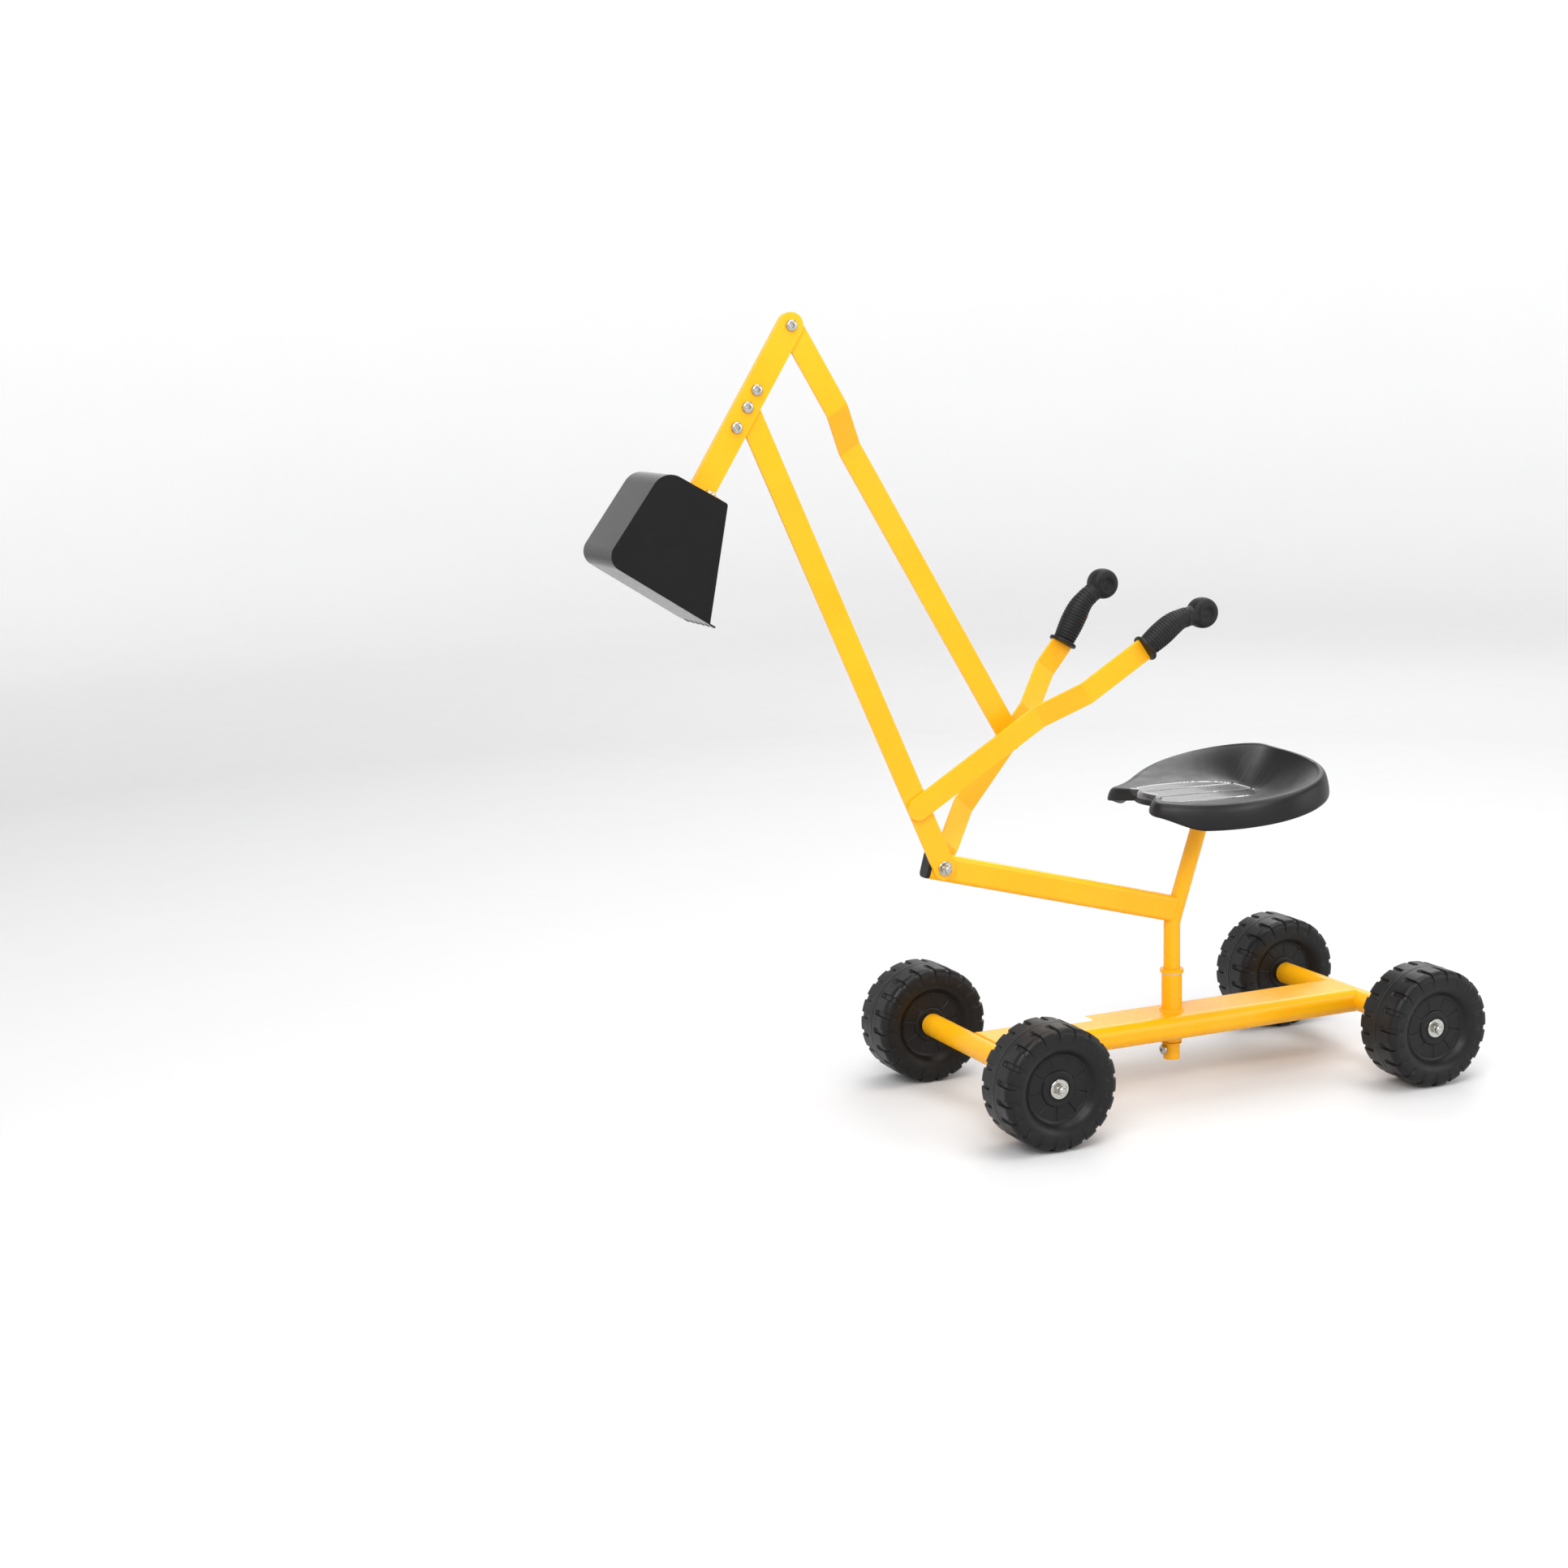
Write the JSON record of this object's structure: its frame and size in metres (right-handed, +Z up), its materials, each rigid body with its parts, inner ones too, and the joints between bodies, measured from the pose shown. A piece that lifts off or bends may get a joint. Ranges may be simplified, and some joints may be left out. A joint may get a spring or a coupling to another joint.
{
  "type": "ride on digger",
  "caption": "Child's ride-on digger on rolling wheels with a swivelling seat and a lever-worked arm and bucket.",
  "frame": {"origin": "on the ground under the middle of the object's bounding box", "axes": "+X forwards towards the bucket, +Y to the rider's left, +Z up"},
  "size_m": [1.1032, 0.3916, 0.9748],
  "materials": {
    "yellow_paint": "glossy enamel over steel",
    "black_paint": "glossy enamel over sheet steel",
    "wheel_plastic": "semi-matt blow-moulded plastic",
    "seat_plastic": "semi-gloss moulded plastic",
    "grip_rubber": "matt ribbed rubber",
    "zinc_steel": "bright zinc plate",
    "nylon": "natural nylon"
  },
  "bodies": {
    "chassis": {"base_rail": "yellow_paint", "front_axle_tube": "yellow_paint", "rear_axle_tube": "yellow_paint", "front_axle_rod": "zinc_steel", "rear_axle_rod": "zinc_steel", "front_axle_washers": "zinc_steel", "rear_axle_washers": "zinc_steel", "front_axle_nuts": "zinc_steel", "rear_axle_nuts": "zinc_steel", "front_tube_bushes": "nylon", "rear_tube_bushes": "nylon", "swivel_sleeve": "yellow_paint", "swivel_bushes": "nylon", "thrust_washer": "nylon"},
    "wheel_front_left": {"wheel_front_left": "wheel_plastic", "hub_bush_front_left": "nylon"},
    "wheel_front_right": {"wheel_front_right": "wheel_plastic", "hub_bush_front_right": "nylon"},
    "wheel_rear_left": {"wheel_rear_left": "wheel_plastic", "hub_bush_rear_left": "nylon"},
    "wheel_rear_right": {"wheel_rear_right": "wheel_plastic", "hub_bush_rear_right": "nylon"},
    "upper_frame": {"seat_post": "yellow_paint", "post_collar": "yellow_paint", "retaining_bolt": "zinc_steel", "retaining_washer": "yellow_paint", "boom_beam": "yellow_paint", "beam_end_plug": "seat_plastic", "seat_pan": "seat_plastic", "seat_bracket": "yellow_paint", "seat_screws": "zinc_steel", "pivot_bolt": "zinc_steel", "pivot_washers": "zinc_steel", "pivot_nut": "zinc_steel"},
    "boom": {"boom_bar": "yellow_paint", "left_lever": "yellow_paint", "left_grip": "grip_rubber"},
    "dipper": {"dipper_channel": "yellow_paint", "bucket": "black_paint", "bucket_bolt": "zinc_steel", "bucket_nut": "zinc_steel", "tip_bolt": "zinc_steel", "tip_nut": "zinc_steel", "elbow_bolt": "zinc_steel", "elbow_nut": "zinc_steel", "stop_bolts": "zinc_steel", "stop_nuts": "zinc_steel"},
    "control_lever": {"control_lever": "yellow_paint", "right_grip": "grip_rubber", "rod_bolt": "zinc_steel", "rod_nut": "zinc_steel", "rod_spacer": "zinc_steel"},
    "link_rod": {"link_rod": "yellow_paint"}
  },
  "joints": [
    {"name": "roll_front_left", "type": "hinge", "parent": "chassis", "child": "wheel_front_left", "pos_m": [0.06632, 0.16135, 0.075], "axis": [0, 1, 0], "continuous": true},
    {"name": "roll_front_right", "type": "hinge", "parent": "chassis", "child": "wheel_front_right", "pos_m": [0.06632, -0.16135, 0.075], "axis": [0, 1, 0], "continuous": true},
    {"name": "roll_rear_left", "type": "hinge", "parent": "chassis", "child": "wheel_rear_left", "pos_m": [-0.47658, 0.16135, 0.075], "axis": [0, 1, 0], "continuous": true},
    {"name": "roll_rear_right", "type": "hinge", "parent": "chassis", "child": "wheel_rear_right", "pos_m": [-0.47658, -0.16135, 0.075], "axis": [0, 1, 0], "continuous": true},
    {"name": "swivel", "type": "hinge", "parent": "chassis", "child": "upper_frame", "pos_m": [-0.20728, 0, 0.1], "axis": [0, 0, 1], "continuous": true},
    {"name": "boom_lift", "type": "hinge", "parent": "upper_frame", "child": "boom", "pos_m": [0.12302, 0.0125, 0.3127], "axis": [0, 1, 0], "range_deg": [-8, 72]},
    {"name": "lever_pull", "type": "hinge", "parent": "boom", "child": "control_lever", "pos_m": [0.12302, -0.0125, 0.3127], "axis": [0, 1, 0], "range_deg": [-23, 5]},
    {"name": "dipper_curl", "type": "hinge", "parent": "boom", "child": "dipper", "pos_m": [0.3672, 0.0125, 0.87028], "axis": [0, 1, 0], "range_deg": [-38.74, 8.5]},
    {"name": "rod_pivot", "type": "hinge", "parent": "control_lever", "child": "link_rod", "pos_m": [0.01402, -0.0125, 0.4542], "axis": [0, 1, 0], "range_deg": [-5.12, 23.21]}
  ],
  "couplings": [
    {"joint": "dipper_curl", "follows": "lever_pull", "ratio": 1.68},
    {"joint": "rod_pivot", "follows": "lever_pull", "ratio": -1.005}
  ]
}
